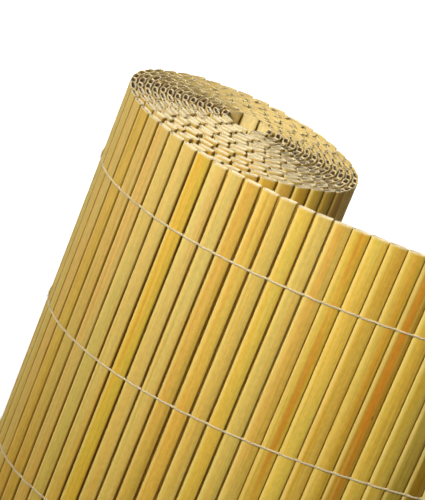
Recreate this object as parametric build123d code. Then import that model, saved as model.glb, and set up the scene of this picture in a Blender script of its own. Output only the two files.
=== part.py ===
"""Roll of PVC screening mat: hollow flat slats sewn side by side, standing on end with one end loose."""
import copy
import math
import os

from build123d import *

# Mat as it is sold, laid out flat
MAT_LENGTH = 5000.0
MAT_HEIGHT = 1000.0

# Slat, a flat hollow tube with its width along the mat
SLAT_WIDTH = 13.3
SLAT_THICKNESS = 5.0
SLAT_WALL = 0.6
SLAT_GAP = 1.2

# Sewing thread, in level courses across the slats
THREAD_COURSES = 8
THREAD_EDGE_DISTANCE = 62.0
THREAD_HEIGHT = 1.6
THREAD_THICKNESS = 0.5

# Winding, with radii to the middle plane of the slats
CORE_RADIUS = 17.0
THREAD_CLEARANCE = 0.2
CORNER_CLEARANCE = 0.2

# Loose end, which leaves the roll at its left side, uncurls across the front and runs on towards +X
LOOSE_LENGTH = 420.0
LEAVE_ANGLE = 84.0
UNCURL_LENGTH = 190.0
COVERED_LENGTH = 145.0

# Passes that settle the length and the angle of one link on the spiral
SPIRAL_PASSES = 6

SLAT_PITCH = SLAT_WIDTH + SLAT_GAP
SLAT_COUNT = round((MAT_LENGTH + SLAT_GAP) / SLAT_PITCH)
LOOSE_COUNT = round(LOOSE_LENGTH / SLAT_PITCH)
ROLLED_COUNT = SLAT_COUNT - LOOSE_COUNT
COVERED_COUNT = round(COVERED_LENGTH / SLAT_PITCH)
COURSE_SPACING = (MAT_HEIGHT - 2 * THREAD_EDGE_DISTANCE) / (THREAD_COURSES - 1)


def link_length(radius):
    """Distance between two gaps: slats bent round a small radius spread until their inner corners clear."""
    link = SLAT_PITCH
    for _ in range(SPIRAL_PASSES):
        half_bend = math.asin(link / (2 * radius))
        corner_gap = SLAT_THICKNESS * math.tan(half_bend) + CORNER_CLEARANCE
        link = SLAT_WIDTH + max(SLAT_GAP, corner_gap)
    return link


def turn_spacing(radius):
    """Radial room for one turn: a slat, the rise of the flat slats over a round bed, and the thread."""
    chord_rise = link_length(radius) ** 2 / (8 * (radius + SLAT_THICKNESS))
    return SLAT_THICKNESS + chord_rise + THREAD_THICKNESS + THREAD_CLEARANCE


def wound_gaps():
    """Middles of the gaps along the winding as (radius, angle wound), from the core outwards."""
    gaps = [(CORE_RADIUS, 0.0)]
    for _ in range(ROLLED_COUNT):
        radius, wound = gaps[-1]
        link = link_length(radius)
        growth = turn_spacing(radius) / (2 * math.pi)
        step = link / radius
        for _ in range(SPIRAL_PASSES):
            outer = radius + growth * step
            half_sine = math.sqrt((link**2 - (outer - radius) ** 2) / (4 * radius * outer))
            step = 2 * math.asin(half_sine)
        gaps.append((radius + growth * step, wound + step))
    return gaps


def mat_line(gaps):
    """Plan of the mat's middle plane: gap points from the core to the leaving point, then the loose end."""
    leave = math.radians(LEAVE_ANGLE)
    last_radius, last_angle = gaps[-1]
    line = []
    for radius, wound in gaps:
        back = leave + last_angle - wound
        line.append(Vector(-radius * math.sin(back), -radius * math.cos(back)))
    for index in range(LOOSE_COUNT):
        run = (index + 0.5) * SLAT_PITCH
        curled = UNCURL_LENGTH * (1 - math.exp(-run / UNCURL_LENGTH))
        heading = -leave + curled / last_radius
        line.append(line[-1] + SLAT_PITCH * Vector(math.cos(heading), math.sin(heading)))
    return line


def face_line(line, offset):
    """The plan line moved square to every slat by the offset, with its corners kept at the gaps."""
    moved = []
    for index, point in enumerate(line):
        before = (line[max(index, 1)] - line[max(index, 1) - 1]).normalized()
        last = min(index, len(line) - 2)
        after = (line[last + 1] - line[last]).normalized()
        bisector = (before + after).normalized()
        outward = Vector(bisector.Y, -bisector.X)
        moved.append(point + outward * (offset / bisector.dot(after)))
    return moved


def hollow_slat():
    """One slat, upright on its lower end, with its width along X."""
    section = Rectangle(SLAT_WIDTH, SLAT_THICKNESS)
    section -= Rectangle(SLAT_WIDTH - 2 * SLAT_WALL, SLAT_THICKNESS - 2 * SLAT_WALL)
    return extrude(section, MAT_HEIGHT).solid()


def placed_slats(slat, line):
    """A copy of the slat between every two neighbouring gap points of the line."""
    slats = []
    for start, end in zip(line, line[1:]):
        along = end - start
        heading = math.degrees(math.atan2(along.Y, along.X))
        middle = (start + end) / 2
        slats.append(slat.moved(Location((middle.X, middle.Y, 0), (0, 0, heading))))
    return slats


def thread_strand(line, side):
    """One strand along the slats' faces at height 0: side 1 is the outer face, side -1 the inner face."""
    path = Polyline(*face_line(line, side * SLAT_THICKNESS / 2))
    along = path % 0
    outward = side * Vector(along.Y, -along.X)
    start = Plane(origin=path @ 0, x_dir=outward, z_dir=along)
    half_height = THREAD_HEIGHT / 2
    profile = Polyline((0, -half_height), (THREAD_THICKNESS, 0), (0, half_height), close=True)
    return sweep(start * make_face(profile), path=path, transition=Transition.RIGHT).solid()


def thread_strands(line, turns):
    """Front and back strand of a course, each from where the loose end no longer lies close to the roll."""
    front = thread_strand(line[turns.index(0) + COVERED_COUNT:], 1)
    back = thread_strand(line[ROLLED_COUNT + COVERED_COUNT:], -1)
    return front, back


def turn_numbers(gaps):
    """Turn that each rolled slat belongs to, counted inwards from the leaving point, 0 outermost."""
    last_angle = gaps[-1][1]
    middles = [(first[1] + second[1]) / 2 for first, second in zip(gaps, gaps[1:])]
    return [int((last_angle - middle) / (2 * math.pi)) for middle in middles]


def footprint_shift(solids):
    """Move that brings the middle of the footprint of all the solids over the origin."""
    middle = Compound(children=[copy.copy(solid) for solid in solids]).bounding_box().center()
    return Vector(-middle.X, -middle.Y)


def write_node(name, solids):
    """Write one node's solids to its own file."""
    export_step(Compound(label=name, children=solids), f"parts/{name}.step")


def main():
    """Build and write every turn of slats, the loose end and every course of thread."""
    os.makedirs("parts", exist_ok=True)
    gaps = wound_gaps()
    line = mat_line(gaps)
    turns = turn_numbers(gaps)
    turn_count = max(turns) + 1
    slats = placed_slats(hollow_slat(), line)
    front, back = thread_strands(line, turns)

    shift = footprint_shift([*slats, front, back])
    slats = [slat.moved(Location(shift)) for slat in slats]
    for turn in range(turn_count):
        members = [slats[index] for index, number in enumerate(turns) if number == turn]
        write_node(f"turn_{turn_count - turn:02d}_slats", members)
    write_node("loose_end_slats", slats[ROLLED_COUNT:])

    for course in range(THREAD_COURSES):
        height = MAT_HEIGHT - THREAD_EDGE_DISTANCE - course * COURSE_SPACING
        level = Location(shift + Vector(0, 0, height))
        write_node(f"thread_course_{course + 1}", [front.moved(level), back.moved(level)])
    print("slats", SLAT_COUNT, "turns", turn_count, "outer radius", round(gaps[-1][0], 2))


if __name__ == "__main__":
    main()
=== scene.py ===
"""Looks of a standing roll of bamboo-look screening mat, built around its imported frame.

The mat is one chain of hollow plastic slats held together by level courses of sewing thread. Every slat is
read from the frame and made again with rounded edges, open ends, a printed face and its own small
irregularities, and every course of thread is laid over the slats that it holds.
"""

import logging
import math
from dataclasses import dataclass, field, replace
from enum import Enum, IntEnum

import bpy
import numpy as np
from mathutils import Matrix, Vector


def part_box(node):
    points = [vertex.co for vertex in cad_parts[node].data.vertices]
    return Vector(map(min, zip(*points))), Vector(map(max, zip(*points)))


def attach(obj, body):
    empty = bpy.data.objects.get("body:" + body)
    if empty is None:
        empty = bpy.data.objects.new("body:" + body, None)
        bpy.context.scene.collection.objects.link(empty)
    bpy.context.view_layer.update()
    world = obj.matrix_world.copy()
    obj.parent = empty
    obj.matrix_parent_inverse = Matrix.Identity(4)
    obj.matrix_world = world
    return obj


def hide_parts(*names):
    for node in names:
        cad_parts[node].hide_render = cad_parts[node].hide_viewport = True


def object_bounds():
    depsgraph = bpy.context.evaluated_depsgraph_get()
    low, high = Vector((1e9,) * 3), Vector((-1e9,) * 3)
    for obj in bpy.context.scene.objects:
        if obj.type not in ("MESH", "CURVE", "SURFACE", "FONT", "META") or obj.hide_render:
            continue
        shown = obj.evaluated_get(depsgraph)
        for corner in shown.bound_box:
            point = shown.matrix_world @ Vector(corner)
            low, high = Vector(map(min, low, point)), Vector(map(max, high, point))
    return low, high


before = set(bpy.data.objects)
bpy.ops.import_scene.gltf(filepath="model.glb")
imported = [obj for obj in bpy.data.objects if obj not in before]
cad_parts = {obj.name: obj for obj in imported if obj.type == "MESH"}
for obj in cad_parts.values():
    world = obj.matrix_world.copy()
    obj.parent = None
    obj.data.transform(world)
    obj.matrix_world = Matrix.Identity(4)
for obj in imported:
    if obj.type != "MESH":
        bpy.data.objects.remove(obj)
CAD_BOX = [list(corner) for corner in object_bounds()]

Array = np.ndarray
Colour = tuple[float, float, float]
Range = tuple[float, float]
Node = bpy.types.Node
NodeTree = bpy.types.NodeTree
Socket = bpy.types.NodeSocket

LOG = logging.getLogger("screening_mat")
WARM_WHITE = (1.0, 0.99, 0.96)
MM = 0.001
SLAT_LENGTH = (CAD_BOX[1][2] - CAD_BOX[0][2]) / MM
BODY = "root"
LOOSE_NODE = "loose_end_slats"
PLACE_ATTRIBUTE = "piece_place"
SEED_ATTRIBUTE = "piece_seed"
TONE_ATTRIBUTE = "slat_tone"
AMBER_ATTRIBUTE = "slat_amber"
STREAK_ATTRIBUTE = "slat_streak"
UPPER_PALE_ATTRIBUTE = "slat_upper_pale"


class SlatPart(IntEnum):
    """Material slots of a piece made of slats."""

    SKIN = 0
    CUT_RIM = 1
    INSIDE = 2


@dataclass(frozen=True)
class PrintTone:
    """Printed colour of a slat.

    Its first number after the colour is the share of a paler colour towards the slat's upper end; amber is
    the strength of its amber streak, and streak how far the streak lies off the slat's middle, in
    millimetres.
    """

    colour: Colour
    upper_pale: float = 0.0
    amber: float = 0.0
    streak: float = 0.0


class SlatTone(Enum):
    """Tones that the slats are printed in. The darker ones are also set on chosen slats as painted shade, and
    PALE on the innermost slats as painted light.
    """

    STRAW = PrintTone((0.63, 0.435, 0.072), upper_pale=0.34)
    TAN = PrintTone((0.63, 0.405, 0.078), upper_pale=0.36, amber=0.15, streak=3.5)
    HONEY = PrintTone((0.59, 0.375, 0.045), upper_pale=0.42)
    SAND = PrintTone((0.68, 0.465, 0.075), upper_pale=0.20)
    CANARY = PrintTone((0.69, 0.470, 0.060), upper_pale=0.06)
    GOLD = PrintTone((0.63, 0.400, 0.050), upper_pale=0.14, amber=0.22, streak=1.5)
    YELLOW = PrintTone((0.64, 0.430, 0.042), upper_pale=0.06, amber=0.25, streak=2.0)
    OLIVE = PrintTone((0.61, 0.410, 0.046), upper_pale=0.06)
    DEEP = PrintTone((0.60, 0.375, 0.036), upper_pale=0.04, amber=0.30, streak=-2.0)
    AMBER = PrintTone((0.66, 0.430, 0.048), amber=0.85, streak=-1.4)
    RUST = PrintTone((0.47, 0.275, 0.026), amber=1.0, streak=0.3)
    MOSS = PrintTone((0.49, 0.340, 0.034))
    BROWN = PrintTone((0.40, 0.235, 0.026), amber=0.40, streak=1.0)
    BARK = PrintTone((0.32, 0.220, 0.026))
    UMBER = PrintTone((0.23, 0.130, 0.008))
    # Painted light: this pale tone brightens the innermost slats round the shaded core hole
    PALE = PrintTone((0.88, 0.72, 0.34))


PLAIN_TONES = (SlatTone.STRAW, SlatTone.TAN, SlatTone.GOLD, SlatTone.GOLD, SlatTone.DEEP, SlatTone.OLIVE)
# Tones from the start of the loose end. The run from OLIVE to UMBER towards its far end is darker, painted
# shade where that part of the mat falls into shade.
LOOSE_TONES = (
    SlatTone.STRAW, SlatTone.STRAW, SlatTone.TAN, SlatTone.GOLD, SlatTone.HONEY, SlatTone.TAN,
    SlatTone.STRAW, SlatTone.HONEY, SlatTone.YELLOW, SlatTone.HONEY, SlatTone.STRAW, SlatTone.GOLD,
    SlatTone.GOLD, SlatTone.SAND, SlatTone.CANARY, SlatTone.SAND, SlatTone.GOLD, SlatTone.AMBER,
    SlatTone.CANARY, SlatTone.DEEP, SlatTone.DEEP, SlatTone.RUST, SlatTone.OLIVE, SlatTone.MOSS,
    SlatTone.BARK, SlatTone.UMBER, SlatTone.GOLD, SlatTone.OLIVE, SlatTone.TAN,
)
# Slats on the roll's right side, of which the first is counted back from the start of the loose end; their
# darker tones are painted shade where the loose end shades the roll
RIGHT_SHADE_TONES = (
    SlatTone.GOLD, SlatTone.DEEP, SlatTone.OLIVE, SlatTone.MOSS, SlatTone.BROWN,
    SlatTone.MOSS, SlatTone.BROWN, SlatTone.BARK, SlatTone.BARK,
)
RIGHT_START = -29
# The innermost slats take the PALE tone, painted light in the core hole
CORE_SLATS = 9


class Graph:
    """A node tree that is being filled with nodes."""

    def __init__(self, tree: NodeTree, groups: "EffectGroups | None" = None) -> None:
        """Start from a tree, which keeps the nodes it has, and the effects that can be placed in it."""
        self.tree = tree
        self.groups = groups

    def node(self, kind: str, **settings: object) -> Node:
        """Add a node.

        Args:
            kind: Blender's name of the node type.
            settings: properties to set on the node.

        Returns:
            The new node.
        """
        made = self.tree.nodes.new(kind)
        for name, value in settings.items():
            setattr(made, name, value)
        return made

    def feed(self, socket: Socket, value: object) -> None:
        """Link an output socket into an input, or set a plain value on it.

        Args:
            socket: the input.
            value: an output socket, a number or a tuple of numbers.
        """
        if isinstance(value, Socket):
            self.tree.links.new(value, socket)
        else:
            socket.default_value = value

    def feed_all(self, node: Node, values: dict[str, object]) -> None:
        """Feed several inputs of a node with sockets or plain values, by the inputs' names."""
        for name, value in values.items():
            self.feed(node.inputs[name], value)

    def math(self, operation: str, first: object, second: object = 0.0, third: object = 0.0) -> Socket:
        """Add a Math node.

        Args:
            operation: the node's operation.
            first: value or socket.
            second: value or socket.
            third: value or socket.

        Returns:
            The result's socket.
        """
        made = self.node("ShaderNodeMath", operation=operation)
        for socket, value in zip(made.inputs, (first, second, third)):
            self.feed(socket, value)
        return made.outputs[0]

    def spread(self, value: object, source: tuple = (0.0, 1.0), target: Range = (0.0, 1.0)) -> Socket:
        """Map a value smoothly from one range to another, held at both ends.

        Args:
            value: the value or socket.
            source: values or sockets that give the target's two ends.
            target: results at the two ends.

        Returns:
            The result's socket.
        """
        made = self.node("ShaderNodeMapRange", interpolation_type="SMOOTHSTEP")
        for socket, number in zip(made.inputs, (value, *source, *target)):
            self.feed(socket, number)
        return made.outputs["Result"]

    def mix(self, factor: object, first: object, second: object, blend: str = "MIX") -> Socket:
        """Mix two colours.

        Args:
            factor: share of the second colour.
            first: colour or socket.
            second: colour or socket.
            blend: blend mode.

        Returns:
            The mixed colour's socket.
        """
        made = self.node("ShaderNodeMix", data_type="RGBA", blend_type=blend)
        self.feed(made.inputs["Factor"], factor)
        for socket, value in ((made.inputs[6], first), (made.inputs[7], second)):
            self.feed(socket, (*value, 1.0) if isinstance(value, tuple) else value)
        return made.outputs[2]

    def grey(self, value: object) -> Socket:
        """Make a grey colour from a value.

        Args:
            value: number or socket for all three channels.

        Returns:
            The colour's socket.
        """
        made = self.node("ShaderNodeCombineColor")
        for socket in made.inputs:
            self.feed(socket, value)
        return made.outputs["Color"]

    def shaded(self, colour: object, value: object, shades: Range, source: Range = (0.0, 1.0)) -> Socket:
        """Multiply a colour by shades between two ends, which a value sets over its own range."""
        return self.mix(1.0, colour, self.grey(self.spread(value, source, shades)), "MULTIPLY")

    def attribute(self, name: str, output: str) -> Socket:
        """Read a mesh attribute as Color, Vector or Fac."""
        return self.node("ShaderNodeAttribute", attribute_name=name).outputs[output]

    def piece_place(self) -> tuple[Socket, ...]:
        """Read a point's place on its piece.

        Returns:
            The sockets of its place across, outward and along, in millimetres.
        """
        parts = self.node("ShaderNodeSeparateXYZ")
        self.feed(parts.inputs[0], self.attribute(PLACE_ATTRIBUTE, "Vector"))
        return tuple(parts.outputs)

    def place(self, group: NodeTree, **values: object) -> Node:
        """Place a node group.

        Args:
            group: the group's tree.
            values: its inputs by name.

        Returns:
            The group's node.
        """
        made = self.node("ShaderNodeGroup", node_tree=group)
        self.feed_all(made, values)
        return made


class EffectGroups:
    """Shader groups that several materials share. Each puts out masks that change over the surface."""

    GRAIN_RANGE = (0.35, 0.65)

    def __init__(self) -> None:
        """Build every group once."""
        self.streaks = self.lengthwise_streaks()
        self.grain = self.drawn_grain()
        self.specks = self.scattered_specks()

    @staticmethod
    def begin(name: str, inputs: dict[str, float], outputs: tuple[str, ...]) -> tuple[Graph, dict, Node]:
        """Start a group with named sockets.

        Args:
            name: the group's name.
            inputs: number inputs with their usual values.
            outputs: names of the number outputs.

        Returns:
            The graph, the input sockets by name and the output node.
        """
        tree = bpy.data.node_groups.new(name, "ShaderNodeTree")
        for label, value in inputs.items():
            socket = tree.interface.new_socket(label, in_out="INPUT", socket_type="NodeSocketFloat")
            socket.default_value = value
        for label in outputs:
            tree.interface.new_socket(label, in_out="OUTPUT", socket_type="NodeSocketFloat")
        graph = Graph(tree)
        source = graph.node("NodeGroupInput")
        return graph, source.outputs, graph.node("NodeGroupOutput")

    @staticmethod
    def stretched_place(graph: Graph, across: object, along: object, shift: object) -> Socket:
        """Place on the piece, stretched along its length and moved by the piece's own seed.

        Args:
            graph: where the nodes go.
            across: cycles per millimetre across the piece.
            along: cycles per millimetre along it.
            shift: how far apart the patterns of two seeds lie.

        Returns:
            The vector's socket.
        """
        place_across, place_outward, place_along = graph.piece_place()
        moved = graph.math("MULTIPLY", graph.attribute(SEED_ATTRIBUTE, "Fac"), shift)
        joined = graph.node("ShaderNodeCombineXYZ")
        graph.feed(joined.inputs[0], graph.math("MULTIPLY_ADD", place_across, across, moved))
        graph.feed(joined.inputs[1], graph.math("MULTIPLY_ADD", place_outward, across, moved))
        graph.feed(joined.inputs[2], graph.math("MULTIPLY", place_along, along))
        return joined.outputs[0]

    def lengthwise_streaks(self) -> NodeTree:
        """Soft streaks that run along a piece, as a mask.

        Returns:
            The group's tree.
        """
        usual = {"Across": 0.25, "Along": 0.006, "Shift": 37.0, "Low": 0.4, "High": 0.6}
        graph, source, sink = self.begin("lengthwise_streaks", usual, ("Mask",))
        noise = graph.node("ShaderNodeTexNoise", noise_dimensions="3D")
        vector = self.stretched_place(graph, source["Across"], source["Along"], source["Shift"])
        graph.feed_all(noise, {"Vector": vector, "Scale": 1.0, "Detail": 3.0})
        graph.feed(sink.inputs["Mask"], graph.spread(noise.outputs[0], (source["Low"], source["High"])))
        return graph.tree

    def drawn_grain(self) -> NodeTree:
        """Fine lines that drawing through a die leaves along a piece, as a mask and a height.

        Returns:
            The group's tree.
        """
        usual = {"Lines": 2.5, "Along": 0.02, "Shift": 91.0}
        graph, source, sink = self.begin("drawn_grain", usual, ("Mask", "Height"))
        noise = graph.node("ShaderNodeTexNoise", noise_dimensions="3D")
        vector = self.stretched_place(graph, source["Lines"], source["Along"], source["Shift"])
        graph.feed_all(noise, {"Vector": vector, "Scale": 1.0, "Detail": 4.0})
        mask = graph.spread(noise.outputs[0], self.GRAIN_RANGE)
        graph.feed_all(sink, {"Mask": mask, "Height": noise.outputs[0]})
        return graph.tree

    def scattered_specks(self) -> NodeTree:
        """A few small spots, longer than wide, as a mask.

        Returns:
            The group's tree.
        """
        usual = {"Across": 0.11, "Along": 0.035, "Shift": 53.0, "Size": 0.1, "Share": 0.06}
        graph, source, sink = self.begin("scattered_specks", usual, ("Mask",))
        cells = graph.node("ShaderNodeTexVoronoi", voronoi_dimensions="3D")
        vector = self.stretched_place(graph, source["Across"], source["Along"], source["Shift"])
        graph.feed_all(cells, {"Vector": vector, "Scale": 1.0})
        near = graph.math("LESS_THAN", cells.outputs["Distance"], source["Size"])
        chance = graph.node("ShaderNodeSeparateColor")
        graph.feed(chance.inputs[0], cells.outputs["Color"])
        chosen = graph.math("LESS_THAN", chance.outputs[0], source["Share"])
        graph.feed(sink.inputs["Mask"], graph.math("MULTIPLY", near, chosen))
        return graph.tree


@dataclass(frozen=True)
class Streaks:
    """One use of the lengthwise streaks.

    across and along are cycles per millimetre, shift parts the patterns of two seeds, noise from low to high
    becomes the mask, and strength is the mask's highest value.
    """

    across: float
    along: float
    shift: float
    low: float
    high: float
    strength: float = 1.0

    def mask(self, graph: Graph) -> Socket:
        """Place the streaks.

        Args:
            graph: where the nodes go.

        Returns:
            The mask's socket.
        """
        placed = graph.place(graph.groups.streaks, Across=self.across, Along=self.along, Shift=self.shift,
                             Low=self.low, High=self.high)
        return graph.math("MULTIPLY", placed.outputs["Mask"], self.strength)


@dataclass(frozen=True)
class Grain:
    """One use of the drawn grain, in cycles per millimetre, with the shift between two seeds."""

    lines: float
    along: float
    shift: float

    def place(self, graph: Graph) -> tuple[Socket, Socket]:
        """Place the grain and give its mask and its height."""
        placed = graph.place(graph.groups.grain, Lines=self.lines, Along=self.along, Shift=self.shift)
        return placed.outputs["Mask"], placed.outputs["Height"]


@dataclass(frozen=True)
class Relief:
    """How strongly a height shows on a surface, its distance in metres."""

    strength: float
    distance: float

    def normal(self, graph: Graph, height: Socket) -> Socket:
        """Turn a height into a normal.

        Args:
            graph: where the nodes go.
            height: the height's socket.

        Returns:
            The normal's socket.
        """
        bump = graph.node("ShaderNodeBump")
        graph.feed_all(bump, {"Strength": self.strength, "Distance": self.distance, "Height": height})
        return bump.outputs["Normal"]


def end_depth(graph: Graph) -> Socket:
    """Distance from the nearer end of a slat, in millimetres."""
    along = graph.piece_place()[2]
    return graph.math("MINIMUM", along, graph.math("SUBTRACT", SLAT_LENGTH, along))


@dataclass(frozen=True)
class Finish:
    """Look of one kind of surface."""

    name: str

    def inputs(self, graph: Graph) -> dict[str, object]:
        """Say what goes into the shader's inputs, as sockets or plain values by name."""
        raise NotImplementedError

    def material(self, groups: EffectGroups | None = None) -> bpy.types.Material:
        """Build the material.

        Args:
            groups: the shared effects that the finish uses.

        Returns:
            The material.
        """
        material = bpy.data.materials.new(self.name)
        material.use_nodes = True
        graph = Graph(material.node_tree, groups)
        graph.feed_all(material.node_tree.nodes["Principled BSDF"], self.inputs(graph))
        return material


@dataclass(frozen=True)
class SkinFinish(Finish):
    """Printed satin skin of a slat with painted highlight and shade at its edges; places across it and depths
    from its ends are in millimetres.
    """

    name: str = "printed_slat_skin"
    pale: Colour = (0.72, 0.54, 0.135)
    pale_broad: Streaks = Streaks(across=0.13, along=0.0035, shift=37.0, low=0.42, high=0.66, strength=0.34)
    pale_narrow: Streaks = Streaks(across=0.55, along=0.005, shift=71.0, low=0.5, high=0.7, strength=0.24)
    upper_pale_colour: Colour = (0.72, 0.56, 0.25)
    upper_pale_reach: float = 440.0
    brown: Colour = (0.42, 0.22, 0.035)
    brown_streaks: Streaks = Streaks(across=0.4, along=0.0045, shift=19.0, low=0.54, high=0.72, strength=0.34)
    amber: Colour = (0.60, 0.215, 0.012)
    amber_fading: Streaks = Streaks(across=0.22, along=0.011, shift=11.0, low=0.28, high=0.62)
    amber_band: Range = (0.4, 4.4)
    amber_shares: Range = (0.9, 0.0)
    cool: Colour = (0.99, 1.015, 0.95)
    warm: Colour = (1.06, 0.955, 0.82)
    warm_streaks: Streaks = Streaks(across=0.17, along=0.007, shift=61.0, low=0.36, high=0.64)
    grain: Grain = Grain(lines=2.2, along=0.012, shift=91.0)
    grain_shades: Range = (0.93, 1.04)
    flecks: Streaks = Streaks(across=0.42, along=0.22, shift=47.0, low=0.35, high=0.65)
    fleck_shades: Range = (0.95, 1.03)
    speck: Colour = (0.12, 0.06, 0.015)
    speck_share: float = 0.7
    # Streaks along the slat that vary the painted highlight and the painted shade on its edges
    edge_streaks: Streaks = Streaks(across=0.2, along=0.02, shift=83.0, low=0.25, high=0.6)
    # Painted shading: the colour darkens across the slat from its core side to its outer side
    slope: Range = (-7.5, 5.5)
    ramp_shades: Range = (0.90, 1.06)
    # Painted highlight along the slat's core-side edge
    highlight_colour: Colour = (0.82, 0.63, 0.19)
    highlight_side: Range = (2.9, 5.3)
    highlight_shares: Range = (0.3, 0.6)
    # Painted shade on the slat's side walls in the gaps between slats, wider on its outer side
    gap_shade: Colour = (0.24, 0.115, 0.010)
    outer_side: Range = (-6.5, -5.6)
    inner_side: Range = (6.3, 6.65)
    gap_shade_shares: Range = (0.6, 0.95)
    cut_pale: Colour = (0.78, 0.64, 0.33)
    cut_depths: Range = (0.2, 1.8)
    cut_shares: Range = (0.65, 0.0)
    roughness: Range = (0.52, 0.64)
    specular: float = 0.1
    relief: Relief = Relief(strength=0.35, distance=0.00012)

    def inputs(self, graph: Graph) -> dict[str, object]:
        """Work out the shader's inputs.

        Args:
            graph: where the nodes go.

        Returns:
            Sockets or plain values by the inputs' names.
        """
        grain, height = self.grain.place(graph)
        colour = self.printed(graph)
        colour = graph.shaded(colour, grain, self.grain_shades)
        colour = graph.shaded(colour, self.flecks.mask(graph), self.fleck_shades)
        specks = graph.place(graph.groups.specks, Across=0.11, Along=0.03, Shift=53.0, Size=0.09, Share=0.05)
        specked = graph.math("MULTIPLY", specks.outputs["Mask"], self.speck_share)
        colour = graph.mix(specked, colour, self.speck)
        colour = self.sides(graph, colour)
        cut = graph.spread(end_depth(graph), self.cut_depths, self.cut_shares)
        return {
            "Base Color": graph.mix(cut, colour, self.cut_pale),
            "Roughness": graph.spread(grain, target=self.roughness),
            "Specular IOR Level": self.specular,
            "Normal": self.relief.normal(graph, height),
        }

    def printed(self, graph: Graph) -> Socket:
        """Colour the print: the slat's tone with its pale, brown, amber, warm and cool streaks.

        Args:
            graph: where the nodes go.

        Returns:
            The printed colour's socket.
        """
        colour = graph.attribute(TONE_ATTRIBUTE, "Color")
        colour = graph.mix(self.pale_broad.mask(graph), colour, self.pale)
        colour = graph.mix(self.pale_narrow.mask(graph), colour, self.pale)
        # Paler towards the upper end, by the share that each tone sets
        upper = graph.spread(graph.piece_place()[2], (SLAT_LENGTH - self.upper_pale_reach, SLAT_LENGTH))
        upper_pale = graph.math("MULTIPLY", upper, graph.attribute(UPPER_PALE_ATTRIBUTE, "Fac"))
        colour = graph.mix(upper_pale, colour, self.upper_pale_colour)
        colour = graph.mix(self.brown_streaks.mask(graph), colour, self.brown)
        colour = graph.mix(self.amber_share(graph), colour, self.amber)
        tint = graph.mix(self.warm_streaks.mask(graph), self.cool, self.warm)
        return graph.mix(1.0, colour, tint, "MULTIPLY")

    def amber_share(self, graph: Graph) -> Socket:
        """Share of amber at a place: a streak off the middle of the slat that comes and goes.

        Args:
            graph: where the nodes go.

        Returns:
            The share's socket.
        """
        across = graph.piece_place()[0]
        off_streak = graph.math("SUBTRACT", across, graph.attribute(STREAK_ATTRIBUTE, "Fac"))
        band = graph.spread(graph.math("ABSOLUTE", off_streak), self.amber_band, self.amber_shares)
        share = graph.math("MULTIPLY", band, self.amber_fading.mask(graph))
        return graph.math("MULTIPLY", share, graph.attribute(AMBER_ATTRIBUTE, "Fac"))

    def sides(self, graph: Graph, colour: Socket) -> Socket:
        """Colour across the slat with painted light and shade: darker towards its outer side, a painted
        highlight along its core-side edge and painted shade on both side walls, wider on the outer side,
        where the gaps between slats lie.

        Args:
            graph: where the nodes go.
            colour: the printed colour.

        Returns:
            The colour with its sides.
        """
        across = graph.piece_place()[0]
        edge_streaks = self.edge_streaks.mask(graph)
        # Painted shading, darker towards the outer side
        colour = graph.shaded(colour, across, self.ramp_shades, self.slope)
        # Painted highlight along the core-side edge
        highlight_share = graph.spread(edge_streaks, target=self.highlight_shares)
        highlight = graph.math("MULTIPLY", graph.spread(across, self.highlight_side), highlight_share)
        colour = graph.mix(highlight, colour, self.highlight_colour)
        # Painted shade on both side walls, where the gaps between slats lie
        outer = graph.spread(across, self.outer_side, (1.0, 0.0))
        edges = graph.math("MAXIMUM", outer, graph.spread(across, self.inner_side))
        brown = graph.math("MULTIPLY", edges, graph.spread(edge_streaks, target=self.gap_shade_shares))
        return graph.mix(brown, colour, self.gap_shade)


@dataclass(frozen=True)
class RimFinish(Finish):
    """Cut end of a slat's wall, paler than the print and a little rough."""

    name: str = "cut_slat_rim"
    cream: Colour = (0.80, 0.68, 0.41)
    soiled: Colour = (0.60, 0.46, 0.22)
    patches: Streaks = Streaks(across=0.5, along=0.5, shift=29.0, low=0.45, high=0.7, strength=0.6)
    grain: Grain = Grain(lines=4.0, along=4.0, shift=13.0)
    roughness: Range = (0.55, 0.75)
    specular: float = 0.3

    def inputs(self, graph: Graph) -> dict[str, object]:
        """Work out the shader's inputs.

        Args:
            graph: where the nodes go.

        Returns:
            Sockets or plain values by the inputs' names.
        """
        grain, _ = self.grain.place(graph)
        return {
            "Base Color": graph.mix(self.patches.mask(graph), self.cream, self.soiled),
            "Roughness": graph.spread(grain, target=self.roughness),
            "Specular IOR Level": self.specular,
        }


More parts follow.
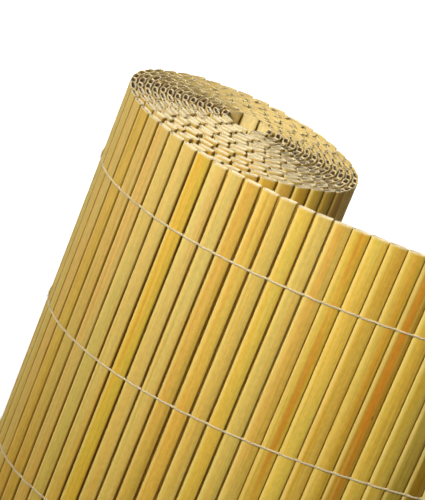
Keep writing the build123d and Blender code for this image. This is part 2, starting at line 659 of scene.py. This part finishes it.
@dataclass(frozen=True)
class InsideFinish(Finish):
    """Bore of a slat, golden behind the print and cream on its other wall, with painted shade in violet
    deeper down and at its narrow sides, lengths in millimetres.
    """

    name: str = "slat_bore"
    golden: Colour = (0.95, 0.69, 0.22)
    cream: Colour = (0.92, 0.80, 0.52)
    violet: Colour = (0.070, 0.028, 0.018)
    walls: Range = (-0.4, 0.4)
    streaks: Streaks = Streaks(across=0.35, along=0.01, shift=43.0, low=0.45, high=0.7, strength=0.15)
    grain: Grain = Grain(lines=1.6, along=0.02, shift=67.0)
    roughness: Range = (0.45, 0.6)
    specular: float = 0.3
    # Painted shade: the bore turns violet below light_depth and, from rim_depth down, at its narrow sides
    bore_shade_share: float = 0.9
    rim_depth: float = 0.2
    light_depth: float = 1.1
    dark_depth: float = 2.8
    side: Range = (5.3, 5.9)

    def inputs(self, graph: Graph) -> dict[str, object]:
        """Work out the shader's inputs.

        Args:
            graph: where the nodes go.

        Returns:
            Sockets or plain values by the inputs' names.
        """
        across, outward, _ = graph.piece_place()
        depth = end_depth(graph)
        grain, _ = self.grain.place(graph)
        colour = graph.mix(graph.spread(outward, self.walls), self.cream, self.golden)
        colour = graph.mix(self.streaks.mask(graph), colour, self.violet)
        # Painted shade in the bore, deeper down and at its narrow sides
        side = graph.spread(graph.math("ABSOLUTE", across), self.side)
        side = graph.math("MULTIPLY", side, graph.spread(depth, (self.rim_depth, self.light_depth)))
        bore_shade = graph.math("MAXIMUM", graph.spread(depth, (self.light_depth, self.dark_depth)), side)
        bore_shade = graph.math("MULTIPLY", bore_shade, self.bore_shade_share)
        return {
            "Base Color": graph.mix(bore_shade, colour, self.violet),
            "Roughness": graph.spread(grain, target=self.roughness),
            "Specular IOR Level": self.specular,
        }


@dataclass(frozen=True)
class ThreadFinish(Finish):
    """Twisted cream sewing thread."""

    name: str = "cream_thread"
    cream: Colour = (0.66, 0.55, 0.31)
    shadow: Colour = (0.38, 0.29, 0.14)
    soil: Streaks = Streaks(across=0.2, along=0.05, shift=23.0, low=0.5, high=0.75, strength=0.35)
    fibres: Grain = Grain(lines=3.0, along=0.8, shift=31.0)
    fibre_shares: Range = (0.25, 0.0)
    roughness: Range = (0.7, 0.9)
    specular: float = 0.25
    sheen: float = 0.1
    relief: Relief = Relief(strength=0.5, distance=0.0002)

    def inputs(self, graph: Graph) -> dict[str, object]:
        """Work out the shader's inputs.

        Args:
            graph: where the nodes go.

        Returns:
            Sockets or plain values by the inputs' names.
        """
        fibres, height = self.fibres.place(graph)
        colour = graph.mix(self.soil.mask(graph), self.cream, self.shadow)
        return {
            "Base Color": graph.mix(graph.spread(fibres, target=self.fibre_shares), colour, self.shadow),
            "Roughness": graph.spread(fibres, target=self.roughness),
            "Specular IOR Level": self.specular,
            "Sheen Weight": self.sheen,
            "Normal": self.relief.normal(graph, height),
        }


@dataclass(frozen=True)
class FloorFinish(Finish):
    """Plain pale studio floor."""

    name: str = "pale_floor"
    pale: Colour = (0.86, 0.86, 0.86)
    cloud_scale: float = 1.5
    cloud: Range = (0.3, 0.7)
    cloud_shades: Range = (0.99, 1.0)
    roughness: float = 0.8
    specular: float = 0.1

    def inputs(self, graph: Graph) -> dict[str, object]:
        """Work out the shader's inputs.

        Args:
            graph: where the nodes go.

        Returns:
            Sockets or plain values by the inputs' names.
        """
        noise = graph.node("ShaderNodeTexNoise")
        graph.feed(noise.inputs["Scale"], self.cloud_scale)
        return {
            "Base Color": graph.shaded(self.pale, noise.outputs[0], self.cloud_shades, self.cloud),
            "Roughness": self.roughness,
            "Specular IOR Level": self.specular,
        }


@dataclass(frozen=True, eq=False)
class SlatPlace:
    """Where one slat of the frame stands, in metres."""

    node: str
    middle: Array
    along: Array
    outward: Array
    width: float
    thickness: float
    low: float
    high: float

    def edge(self, side: int) -> Array:
        """Plan point at the slat's edge: side 1 towards the mat's outer end, -1 towards its core."""
        return self.middle + side * self.along * self.width / 2


@dataclass(frozen=True)
class SlatNature:
    """What sets one slat apart from the next, lengths in metres."""

    seed: float
    tone: PrintTone
    snug: float
    twist: float
    lift: float
    slope: float
    bow: float
    bow_phase: float


@dataclass(frozen=True)
class UpperEnd:
    """How far the slats' upper ends lie off one level, as the mat is wound a little askew, in metres."""

    middle: float = -2.2 * MM
    to_right: float = -5.8 * MM
    to_back: float = -1.7 * MM
    cone: float = 8.0 * MM
    radius: float = 96.0 * MM
    loose_start: float = 3.8 * MM
    loose_end: float = -1.4 * MM
    fade: float = 110.0 * MM
    sink: float = 6.5 * MM
    sink_turn: float = math.radians(-6.0)
    sink_spread: float = math.radians(23.0)
    sink_from: float = 0.6

    def lift(self, place: SlatPlace, arm: Array, run: float) -> float:
        """How far one slat's end lies off the level.

        Args:
            place: the slat.
            arm: plan vector from the roll's axis to the slat.
            run: length of mat from the roll to the slat, for a slat of the loose end.

        Returns:
            The rise, negative for a drop.
        """
        if place.node == LOOSE_NODE:
            return self.loose_end + (self.loose_start - self.loose_end) * math.exp(-run / self.fade)
        right, back = arm / self.radius
        reach = math.hypot(right, back)
        middle = self.middle + self.cone * (1 - reach)
        off_sink = (math.atan2(right, -back) - self.sink_turn) / self.sink_spread
        outer = max(reach - self.sink_from, 0.0) / (1 - self.sink_from)
        sunk = self.sink * math.exp(-off_sink**2) * outer**2
        return middle + self.to_right * right + self.to_back * back - sunk


class MatReader:
    """Finds the slats in the frame's meshes and puts them in order."""

    ROUNDING = 6

    def __init__(self) -> None:
        """Take every node that holds slats, and the roll's axis from the innermost turn."""
        self.nodes = sorted(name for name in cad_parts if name.endswith("_slats"))
        core = next(name for name in self.nodes if name != LOOSE_NODE)
        low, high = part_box(core)
        self.axis = np.array((low + high) / 2)[:2]

    def islands(self, node: str) -> list[Array]:
        """Split a node's mesh into its separate solids.

        Args:
            node: the node's name.

        Returns:
            The corner points of each solid.
        """
        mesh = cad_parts[node].data
        points = np.array([vertex.co for vertex in mesh.vertices])
        corners, index = np.unique(points.round(self.ROUNDING), axis=0, return_inverse=True)
        edges = index.ravel()[np.array([edge.vertices for edge in mesh.edges])]
        labels = np.arange(len(corners))
        while True:
            lowest = labels.copy()
            np.minimum.at(lowest, edges[:, 0], labels[edges[:, 1]])
            np.minimum.at(lowest, edges[:, 1], labels[edges[:, 0]])
            if np.array_equal(lowest, labels):
                return [corners[labels == label] for label in np.unique(labels)]
            labels = lowest

    def slat(self, node: str, corners: Array) -> SlatPlace:
        """Measure one slat.

        Args:
            node: the node that it belongs to.
            corners: its corner points.

        Returns:
            Its place.
        """
        middle = corners[:, :2].mean(axis=0)
        arms = corners[:, :2] - middle
        along = np.linalg.eigh(arms.T @ arms)[1][:, 1]
        outward = np.array((along[1], -along[0]))
        if outward @ (middle - self.axis) < 0:
            along, outward = -along, -outward
        width = 2 * np.abs(arms @ along).max()
        thickness = 2 * np.abs(arms @ outward).max()
        low, high = corners[:, 2].min(), corners[:, 2].max()
        return SlatPlace(node, middle, along, outward, width, thickness, low, high)

    def chain(self) -> list[SlatPlace]:
        """All slats in the mat's order.

        Returns:
            The slats from the core to the outer end.
        """
        left = [self.slat(node, corners) for node in self.nodes for corners in self.islands(node)]
        loose = [place for place in left if place.node == LOOSE_NODE]
        current = max(loose, key=lambda place: np.linalg.norm(place.middle - self.axis))
        ordered = [current]
        left.remove(current)
        while left:
            inner_edge = current.edge(-1)
            current = min(left, key=lambda place: np.linalg.norm(place.edge(1) - inner_edge))
            ordered.append(current)
            left.remove(current)
        return ordered[::-1]


@dataclass(frozen=True, eq=False)
class PartMesh:
    """Mesh of one slat or one stretch of thread, with every point's place on it in millimetres.

    parts holds the material of every quad, where the piece has more than one.
    """

    points: Array
    quads: Array
    spots: Array
    parts: Array | None = None


def ring_quads(rings: int, sides: int) -> Array:
    """Quads between rings of points, the last ring joined to the first.

    Args:
        rings: number of rings.
        sides: number of points in a ring.

    Returns:
        Point numbers, by ring and side.
    """
    here = np.arange(sides)
    after = (here + 1) % sides
    base = np.arange(rings)[:, None] * sides
    top = np.roll(base, -1, axis=0)
    return np.stack((base + here, base + after, top + after, top + here), axis=-1)


@dataclass
class SlatForm:
    """Section and length of the slats, lengths in metres."""

    wall: float = 0.6 * MM
    edge_radius: float = 1.7 * MM
    crown: float = 0.6 * MM
    rim_round: float = 0.15 * MM
    corner_steps: int = 4
    face_points: int = 3
    length_rings: int = 9
    bore_depths: tuple[float, ...] = (0.0, 0.02, 0.5, 1.0)

    def outline(self, width: float, thickness: float, inset: float) -> Array:
        """Section of a slat as a closed outline, counter-clockwise.

        Args:
            width: the slat's full width.
            thickness: its full thickness at the crown.
            inset: how far inside the skin the outline lies.

        Returns:
            Points (across, outward).
        """
        half_width = width / 2 - inset
        half_flat = thickness / 2 - self.crown - inset
        radius = max(self.edge_radius - inset, self.rim_round)
        points = []
        for corner, (side, face) in enumerate(((1, 1), (-1, 1), (-1, -1), (1, -1))):
            start = math.pi / 2 * corner
            for step in range(self.corner_steps + 1):
                angle = start + math.pi / 2 * step / self.corner_steps
                points.append((side * (half_width - radius) + radius * math.cos(angle),
                               face * (half_flat - radius) + radius * math.sin(angle)))
            if corner % 2 == 0:
                reach = half_width - radius
                for step in range(1, self.face_points + 1):
                    share = 1 - 2 * step / (self.face_points + 1)
                    points.append((side * reach * share, face * half_flat))
        outline = np.array(points)
        bulge = self.crown * (1 - (outline[:, 0] / half_width) ** 2)
        outline[:, 1] += np.sign(outline[:, 1]) * bulge
        return outline

    def levels(self, height: float) -> list[tuple[float, float, SlatPart]]:
        """Loops that make up a slat, up the outside and down the bore.

        Args:
            height: the slat's length.

        Returns:
            Height, inset and the material of the band that follows, for every loop.
        """
        loops = [(0.0, self.rim_round, SlatPart.CUT_RIM)]
        rings = np.linspace(self.rim_round, height - self.rim_round, self.length_rings)
        loops += [(level, 0.0, SlatPart.SKIN) for level in rings[:-1]]
        loops += [(rings[-1], 0.0, SlatPart.CUT_RIM), (height, self.rim_round, SlatPart.CUT_RIM)]
        for depth in self.bore_depths[:-1]:
            loops.append((height * (1 - depth), self.wall, SlatPart.INSIDE))
        loops.append((0.0, self.wall, SlatPart.CUT_RIM))
        return loops

    def mesh(self, place: SlatPlace, nature: SlatNature) -> PartMesh:
        """One slat's mesh.

        Args:
            place: where it stands.
            nature: its irregularities.

        Returns:
            The mesh.
        """
        height = place.high - place.low
        loops = self.levels(height)
        width = place.width + nature.snug
        sections = [self.outline(width, place.thickness, inset) for _, inset, _ in loops]
        count = len(sections[0])
        local = np.vstack(sections)
        level = np.repeat([loop[0] for loop in loops], count)
        share = level / height
        cos, sin = math.cos(nature.twist), math.sin(nature.twist)
        across = local[:, 0] * cos - local[:, 1] * sin
        out = local[:, 0] * sin + local[:, 1] * cos
        across = across + nature.bow * np.sin(math.pi * share + nature.bow_phase)
        out = out + nature.bow / 2 * np.sin(2 * math.pi * share + nature.bow_phase)
        rise = share * (nature.lift + nature.slope * local[:, 0])
        plan = place.middle - np.outer(across, place.along) + np.outer(out, place.outward)
        points = np.column_stack((plan, place.low + level + rise))
        spots = np.column_stack((local * (place.width / width, 1.0), level)) / MM
        parts = np.repeat([int(part) for _, _, part in loops], count)
        return PartMesh(points, ring_quads(len(loops), count).reshape(-1, 4), spots, parts)


def new_piece(name: str, points: Array, quads: Array, sharp_angle: float) -> bpy.types.Object:
    """Make a smooth-shaded mesh object and link it to the scene.

    Args:
        name: the piece's name.
        points: its points in metres.
        quads: its faces.
        sharp_angle: edges sharper than this stay sharp, in radians.

    Returns:
        The object.
    """
    mesh = bpy.data.meshes.new(name)
    mesh.from_pydata(points.tolist(), [], quads.tolist())
    mesh.shade_smooth()
    mesh.set_sharp_from_angle(angle=sharp_angle)
    piece = bpy.data.objects.new(name, mesh)
    bpy.context.scene.collection.objects.link(piece)
    return piece


def store(piece: bpy.types.Object, name: str, kind: str, values: Array) -> None:
    """Store one value per point as a mesh attribute.

    Args:
        piece: the object.
        name: the attribute's name.
        kind: FLOAT, FLOAT_VECTOR or FLOAT_COLOR.
        values: the values, one row per point.
    """
    field_name = {"FLOAT": "value", "FLOAT_VECTOR": "vector", "FLOAT_COLOR": "color"}[kind]
    attribute = piece.data.attributes.new(name, kind, "POINT")
    attribute.data.foreach_set(field_name, np.ascontiguousarray(values, np.float32).ravel())


def joined_piece(name: str, meshes: list[PartMesh], sharp_angle: float) -> bpy.types.Object:
    """Join meshes into one piece that knows every point's place.

    Args:
        name: the piece's name.
        meshes: the meshes.
        sharp_angle: edges sharper than this stay sharp, in radians.

    Returns:
        The piece.
    """
    starts = np.cumsum([0] + [len(mesh.points) for mesh in meshes[:-1]])
    points = np.vstack([mesh.points for mesh in meshes])
    quads = np.vstack([mesh.quads + start for mesh, start in zip(meshes, starts)])
    piece = new_piece(name, points, quads, sharp_angle)
    store(piece, PLACE_ATTRIBUTE, "FLOAT_VECTOR", np.vstack([mesh.spots for mesh in meshes]))
    return piece


@dataclass
class SlatGroup:
    """The slats of one node: a turn of the roll, or the loose end."""

    node: str
    places: list[SlatPlace]
    natures: list[SlatNature]
    form: SlatForm
    sharp_angle: float = math.radians(40)

    def build(self) -> bpy.types.Object:
        """Build all the slats as one piece.

        Returns:
            The piece.
        """
        meshes = [self.form.mesh(place, nature) for place, nature in zip(self.places, self.natures)]
        counts = [len(mesh.points) for mesh in meshes]
        piece = joined_piece(f"{self.node}_look", meshes, self.sharp_angle)
        piece.data.polygons.foreach_set("material_index", np.concatenate([mesh.parts for mesh in meshes]))
        tones = [nature.tone for nature in self.natures]
        colours = np.array([(*tone.colour, 1.0) for tone in tones])
        store(piece, TONE_ATTRIBUTE, "FLOAT_COLOR", np.repeat(colours, counts, axis=0))
        for name, values in (
            (SEED_ATTRIBUTE, [nature.seed for nature in self.natures]),
            (UPPER_PALE_ATTRIBUTE, [tone.upper_pale for tone in tones]),
            (AMBER_ATTRIBUTE, [tone.amber for tone in tones]),
            (STREAK_ATTRIBUTE, [tone.streak for tone in tones]),
        ):
            store(piece, name, "FLOAT", np.repeat(values, counts))
        return piece

    def dress(self, piece: bpy.types.Object, materials: list[bpy.types.Material]) -> None:
        """Give the piece its materials and its place in the frame.

        Args:
            piece: the slats.
            materials: skin, cut rim and inside, in the order of SlatPart.
        """
        for material in materials:
            piece.data.materials.append(material)
        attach(piece, BODY)
        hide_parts(self.node)


@dataclass
class ThreadCourse:
    """One course of sewing thread over the outer turn and both faces of the loose end, lengths in metres."""

    node: str
    front: list[SlatPlace]
    back: list[SlatPlace]
    form: SlatForm
    half_height: float = 0.9 * MM
    half_depth: float = 0.55 * MM
    ply_depth: float = 0.16
    ply_pitch: float = 3.4 * MM
    shoulder: float = 1.5 * MM
    dip: float = 0.75 * MM
    wander: float = 0.22 * MM
    sides: int = 8
    steps: int = 4
    face_points: int = 5
    hitch_radius: float = 0.75 * MM
    hitch_thickness: float = 0.46 * MM
    hitch_sides: int = 6
    hitch_steps: int = 10
    sharp_angle: float = math.radians(60)

    def over_face(self, place: SlatPlace, face: int) -> list[Array]:
        """Points of the thread over one slat, from its core side to its outer side.

        Args:
            place: the slat.
            face: 1 for its outer face, -1 for its inner face.

        Returns:
            Plan points of the thread's middle line.
        """
        reach = place.width / 2 - self.shoulder
        points = []
        for share in np.linspace(-1.0, 1.0, self.face_points):
            drop = self.form.crown * (share * reach / (place.width / 2)) ** 2
            out = place.thickness / 2 - drop + self.half_depth
            points.append(place.middle + place.along * share * reach + face * place.outward * out)
        return points

    def in_gap(self, before: SlatPlace, after: SlatPlace, face: int) -> Array:
        """Point where the thread dips into the gap between two slats.

        Args:
            before: slat on the core side.
            after: slat on the outer side.
            face: 1 for the outer face, -1 for the inner face.

        Returns:
            The plan point.
        """
        middle = (before.edge(1) + after.edge(-1)) / 2
        outward = before.outward + after.outward
        outward = outward / np.linalg.norm(outward)
        return middle + face * outward * (before.thickness / 2 + self.half_depth - self.dip)

    def route(self) -> tuple[Array, list[int]]:
        """Plan route along the outer face, round the last slat's edge and back along the inner face.

        Returns:
            The route's points, and which of them lie in gaps on the outer face.
        """
        points, gaps = [], []
        for place, after in zip(self.front, [*self.front[1:], None]):
            points += self.over_face(place, 1)
            if after is not None:
                gaps.append(len(points))
                points.append(self.in_gap(place, after, 1))
        last = self.front[-1]
        points.append(last.edge(1) + last.along * self.half_depth)
        inner = self.back[::-1]
        for place, before in zip(inner, [*inner[1:], None]):
            points += self.over_face(place, -1)[::-1]
            if before is not None:
                points.append(self.in_gap(before, place, -1))
        return np.array(points), gaps

    def smooth(self, points: Array) -> Array:
        """Pass a smooth line through points.

        Args:
            points: the points, one row each.

        Returns:
            The line's points, with as many steps between two points as the course has.
        """
        padded = np.vstack((2 * points[0] - points[1], points, 2 * points[-1] - points[-2]))
        first, second, third, fourth = padded[:-3], padded[1:-2], padded[2:-1], padded[3:]
        line = []
        for share in np.arange(self.steps) / self.steps:
            square, cube = share**2, share**3
            line.append(0.5 * (2 * second + (third - first) * share
                               + (2 * first - 5 * second + 4 * third - fourth) * square
                               + (3 * second - first - 3 * third + fourth) * cube))
        woven = np.stack(line, axis=1).reshape(-1, points.shape[1])
        return np.vstack((woven, points[-1]))

    def strand(self, line: Array, turn: float) -> PartMesh:
        """Two-ply thread along a line.

        Args:
            line: points (x, y, z) of the thread's middle line.
            turn: where the twist starts, in radians.

        Returns:
            The mesh.
        """
        tangent = np.gradient(line, axis=0)
        tangent /= np.linalg.norm(tangent, axis=1, keepdims=True)
        out = np.column_stack((tangent[:, 1], -tangent[:, 0], np.zeros(len(line))))
        out /= np.linalg.norm(out, axis=1, keepdims=True)
        up = np.cross(out, tangent)
        run = np.concatenate(([0.0], np.cumsum(np.linalg.norm(np.diff(line, axis=0), axis=1))))
        angle = 2 * math.pi * np.arange(self.sides) / self.sides
        twist = turn + 2 * math.pi * run[:, None] / self.ply_pitch
        ply = 1 + self.ply_depth * np.cos(2 * (angle[None, :] - twist / 2))
        depth = self.half_depth * ply * np.cos(angle)
        height = self.half_height * ply * np.sin(angle)
        points = line[:, None, :] + depth[..., None] * out[:, None, :] + height[..., None] * up[:, None, :]
        spots = np.stack(np.broadcast_arrays(angle * self.half_height, ply * MM, run[:, None]), axis=-1)
        quads = np.roll(ring_quads(len(line), self.sides)[:-1, :, ::-1], 1, axis=-1)
        return PartMesh(points.reshape(-1, 3), quads.reshape(-1, 4), spots.reshape(-1, 3) / MM)

    def hitch(self, centre: Array, tangent: Array) -> PartMesh:
        """Small loop round the thread where the other strand holds it in a gap.

        Args:
            centre: middle of the loop.
            tangent: direction of the thread there.

        Returns:
            The mesh.
        """
        out = np.array((tangent[1], -tangent[0], 0.0))
        up = np.cross(out, tangent)
        around = 2 * math.pi * np.arange(self.hitch_steps) / self.hitch_steps
        section = 2 * math.pi * np.arange(self.hitch_sides) / self.hitch_sides
        radial = np.outer(np.cos(around), out) + np.outer(np.sin(around), up)
        reach = self.hitch_radius + self.hitch_thickness * np.cos(section)
        offset = self.hitch_thickness * np.sin(section)
        points = centre + reach[None, :, None] * radial[:, None, :] + offset[None, :, None] * tangent
        quads = ring_quads(self.hitch_steps, self.hitch_sides)
        spots = np.stack(np.broadcast_arrays(offset, reach, around[:, None] * self.hitch_radius), axis=-1)
        return PartMesh(points.reshape(-1, 3), quads.reshape(-1, 4), spots.reshape(-1, 3) / MM)

    def build(self, draws: np.random.Generator) -> bpy.types.Object:
        """Build the course as one piece.

        Args:
            draws: random draws for its small irregularities.

        Returns:
            The piece.
        """
        low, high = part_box(self.node)
        level = (low.z + high.z) / 2
        plan, gaps = self.route()
        heights = level + draws.normal(0.0, self.wander, len(plan))
        heights[1:-1] = (heights[:-2] + heights[1:-1] + heights[2:]) / 3
        line = self.smooth(np.column_stack((plan, heights)))
        meshes = [self.strand(line, draws.uniform(0, 2 * math.pi))]
        for gap in gaps:
            index = gap * self.steps
            tangent = line[index + 1] - line[index - 1]
            meshes.append(self.hitch(line[index], tangent / np.linalg.norm(tangent)))
        piece = joined_piece(f"{self.node}_look", meshes, self.sharp_angle)
        store(piece, SEED_ATTRIBUTE, "FLOAT", np.full(len(piece.data.vertices), draws.uniform()))
        return piece

    def dress(self, piece: bpy.types.Object, material: bpy.types.Material) -> None:
        """Give the piece its material and its place in the frame.

        Args:
            piece: the course.
            material: the thread's material.
        """
        piece.data.materials.append(material)
        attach(piece, BODY)
        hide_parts(self.node)


@dataclass
class ScreeningMat:
    """The whole mat: every slat in order, and its courses of thread."""

    form: SlatForm = field(default_factory=SlatForm)
    upper_end: UpperEnd = UpperEnd()
    seed: int = 1207
    twist: float = math.radians(1.4)
    lift: float = 0.5 * MM
    slope: float = 0.03
    bow: float = 0.16 * MM
    tone_spread: float = 0.045
    brightest: float = 0.9
    clear_gap: float = 3.0 * MM
    snug: float = 1.2 * MM
    snug_from: float = 199.0 * MM
    snug_to: float = 212.0 * MM
    straight: float = 0.85

    def nature(self, draws: np.random.Generator, tone: SlatTone, rise: float, run: float) -> SlatNature:
        """Draw one slat's irregularities.

        Args:
            draws: the random draws.
            tone: its printed tone.
            rise: how far its upper end lies off the level before its own irregularity.
            run: length of mat from the roll to the slat, where slats drawn out flat lie snug side by side.

        Returns:
            Its nature.
        """
        brightness = 1 + draws.normal(0.0, self.tone_spread)
        colour = tuple(min(channel * brightness, self.brightest) for channel in tone.value.colour)
        flat = min(max((run - self.snug_from) / (self.snug_to - self.snug_from), 0.0), 1.0)
        return SlatNature(
            seed=draws.uniform(),
            tone=replace(tone.value, colour=colour),
            snug=self.snug * flat,
            twist=draws.normal(0.0, self.twist),
            lift=rise + draws.uniform(-self.lift, self.lift),
            slope=draws.normal(0.0, self.slope),
            bow=draws.normal(0.0, self.bow) * (1 - self.straight * flat),
            bow_phase=draws.uniform(0, 2 * math.pi),
        )

    @staticmethod
    def tone(index: int, loose_index: int, drawn: SlatTone) -> SlatTone:
        """Choose one slat's tone.

        Args:
            index: its number from the core.
            loose_index: its number from the start of the loose end, negative in the roll.
            drawn: the tone of a slat that has no set one.

        Returns:
            The tone.
        """
        # Painted light on the innermost slats round the core hole
        if index < CORE_SLATS:
            return SlatTone.PALE
        if 0 <= loose_index < len(LOOSE_TONES):
            return LOOSE_TONES[loose_index]
        # Painted shade: darker tones on the roll's right side, behind the loose end
        if 0 <= loose_index - RIGHT_START < len(RIGHT_SHADE_TONES):
            return RIGHT_SHADE_TONES[loose_index - RIGHT_START]
        return drawn

    def natures(self, chain: list[SlatPlace], axis: Array) -> list[SlatNature]:
        """Draw the irregularities of all slats in order.

        Args:
            chain: the slats from the core outwards.
            axis: plan point of the roll's axis.

        Returns:
            One nature for every slat.
        """
        draws = np.random.default_rng(self.seed)
        first_loose = sum(place.node != LOOSE_NODE for place in chain)
        found = []
        for index, place in enumerate(chain):
            drawn = PLAIN_TONES[draws.integers(len(PLAIN_TONES))]
            tone = self.tone(index, index - first_loose, drawn)
            run = (index - first_loose) * place.width
            rise = self.upper_end.lift(place, place.middle - axis, run)
            found.append(self.nature(draws, tone, rise, run))
        return found

    def build_slats(self, reader: MatReader, chain: list[SlatPlace], groups: EffectGroups) -> None:
        """Build every node's slats.

        Args:
            reader: what found the slats.
            chain: the slats from the core outwards.
            groups: the shared effects.
        """
        materials = [finish.material(groups) for finish in (SkinFinish(), RimFinish(), InsideFinish())]
        natures = self.natures(chain, reader.axis)
        for node in reader.nodes:
            members = [index for index, place in enumerate(chain) if place.node == node]
            group = SlatGroup(node, [chain[i] for i in members], [natures[i] for i in members], self.form)
            piece = group.build()
            group.dress(piece, materials)
            LOG.info("%s: %d slats, %d faces", piece.name, len(members), len(piece.data.polygons))

    def build_threads(self, reader: MatReader, chain: list[SlatPlace], groups: EffectGroups) -> None:
        """Build every course of thread.

        Args:
            reader: what found the slats.
            chain: the slats from the core outwards.
            groups: the shared effects.
        """
        material = ThreadFinish().material(groups)
        outer_node = next(place.node for place in reversed(chain) if place.node != LOOSE_NODE)
        outer = [place for place in chain if place.node == outer_node]
        loose = [place for place in chain if place.node == LOOSE_NODE]
        radius = max(np.linalg.norm(place.middle - reader.axis) for place in outer)
        limit = radius + loose[0].thickness + self.clear_gap
        covered = sum(np.linalg.norm(place.middle - reader.axis) < limit for place in loose)
        draws = np.random.default_rng(self.seed + 1)
        for node in sorted(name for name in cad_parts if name.startswith("thread_course")):
            course = ThreadCourse(node, [*outer[covered:], *loose], loose[covered:], self.form)
            piece = course.build(draws)
            course.dress(piece, material)
            LOG.info("%s: %d faces", piece.name, len(piece.data.polygons))

    def build(self) -> None:
        """Build the mat from the frame."""
        groups = EffectGroups()
        reader = MatReader()
        chain = reader.chain()
        self.build_slats(reader, chain, groups)
        self.build_threads(reader, chain, groups)


@dataclass(frozen=True)
class SoftBox:
    """A square studio light, in metres and watts."""

    name: str
    place: tuple[float, float, float]
    aim: tuple[float, float, float]
    size: float
    power: float
    colour: Colour = (1.0, 1.0, 1.0)
    spread: float = 180.0

    def build(self) -> None:
        """Add the light, unseen by the camera."""
        data = bpy.data.lights.new(self.name, "AREA")
        data.shape = "SQUARE"
        data.size = self.size
        data.energy = self.power
        data.color = self.colour
        data.spread = math.radians(self.spread)
        light = bpy.data.objects.new(self.name, data)
        light.location = self.place
        light.rotation_euler = (Vector(self.aim) - Vector(self.place)).to_track_quat("-Z", "Y").to_euler()
        light.visible_camera = False
        bpy.context.scene.collection.objects.link(light)


@dataclass
class Studio:
    """Pale floor, soft light and the camera."""

    floor_size: float = 60.0
    bright_side: Colour = (0.22, 0.22, 0.22)
    dark_side: Colour = (0.015, 0.015, 0.015)
    bright_from: tuple[float, float, float] = (-0.10, -0.60, 0.79)
    bright_range: Range = (-0.7, 0.9)
    lights: tuple[SoftBox, ...] = (
        SoftBox("key_light", (-0.72, -1.15, 1.75), (0.04, -0.1, 1.01), 0.5, 2.2, WARM_WHITE, spread=48.0),
        SoftBox("top_light", (-0.15, 0.1, 2.3), (-0.1, 0.02, 1.0), 0.8, 5.0, WARM_WHITE),
        SoftBox("back_light", (-1.1, 1.9, 1.5), (-0.1, 0.0, 0.5), 0.9, 14.0, WARM_WHITE),
        SoftBox("floor_wash", (-0.2, 3.7, 3.2), (-0.2, 3.8, 0.0), 3.6, 85.0, spread=90.0),
    )
    far_washes: int = 4
    far_distance: float = 9.0
    far_height: float = 4.0
    far_size: float = 6.0
    far_power: float = 180.0
    far_spread: float = 110.0
    camera_place: tuple[float, float, float] = (-0.1593, -1.7631, 1.5406)
    camera_turn: float = -2.785
    camera_tilt: float = 19.87
    camera_lean: float = 22.014
    focal_pixels: float = 2400.0
    image_long_side: float = 500.0
    sensor: float = 36.0

    def build_floor(self) -> None:
        """Add the floor as a part of the stage."""
        half = self.floor_size / 2
        corners = np.array([(-half, -half, 0), (half, -half, 0), (half, half, 0), (-half, half, 0)], float)
        floor = new_piece("floor", corners, np.array([[0, 1, 2, 3]]), math.pi)
        floor.data.materials.append(FloorFinish().material())

    def build_world(self) -> None:
        """Add soft light from all round, brighter from the front left."""
        world = bpy.data.worlds.new("studio")
        world.use_nodes = True
        graph = Graph(world.node_tree)
        direction = graph.node("ShaderNodeTexCoord").outputs["Generated"]
        facing = graph.node("ShaderNodeVectorMath", operation="DOT_PRODUCT")
        graph.feed(facing.inputs[0], direction)
        graph.feed(facing.inputs[1], self.bright_from)
        share = graph.spread(facing.outputs["Value"], self.bright_range)
        background = world.node_tree.nodes["Background"]
        graph.feed(background.inputs["Color"], graph.mix(share, self.dark_side, self.bright_side))
        bpy.context.scene.world = world

    def build_lights(self) -> None:
        """Add the lights on the mat, and lights over the far floor that keep it pale behind the mat."""
        for light in self.lights:
            light.build()
        for number in range(self.far_washes):
            angle = 2 * math.pi * number / self.far_washes
            x, y = self.far_distance * math.cos(angle), self.far_distance * math.sin(angle)
            SoftBox(
                f"far_wash_{number + 1}", (x, y, self.far_height), (x, y, 0.0),
                self.far_size, self.far_power, spread=self.far_spread,
            ).build()

    def build_camera(self) -> None:
        """Add the camera, which leans to one side as the picture does."""
        data = bpy.data.cameras.new("camera")
        data.sensor_width = self.sensor
        data.lens = self.focal_pixels * self.sensor / self.image_long_side
        camera = bpy.data.objects.new("camera", data)
        turn = Matrix.Rotation(math.radians(self.camera_turn), 4, "Z")
        tilt = Matrix.Rotation(math.radians(90 - self.camera_tilt), 4, "X")
        lean = Matrix.Rotation(math.radians(self.camera_lean), 4, "Z")
        camera.matrix_world = Matrix.Translation(self.camera_place) @ turn @ tilt @ lean
        bpy.context.scene.collection.objects.link(camera)
        bpy.context.scene.camera = camera

    def build(self) -> None:
        """Build the whole stage."""
        self.build_floor()
        self.build_world()
        self.build_lights()
        self.build_camera()
        bpy.context.scene.view_settings.view_transform = "Standard"


def main() -> None:
    """Build the mat and the studio."""
    logging.basicConfig(level=logging.INFO, format="%(name)s: %(message)s")
    ScreeningMat().build()
    Studio().build()


if __name__ == "__main__":
    main()
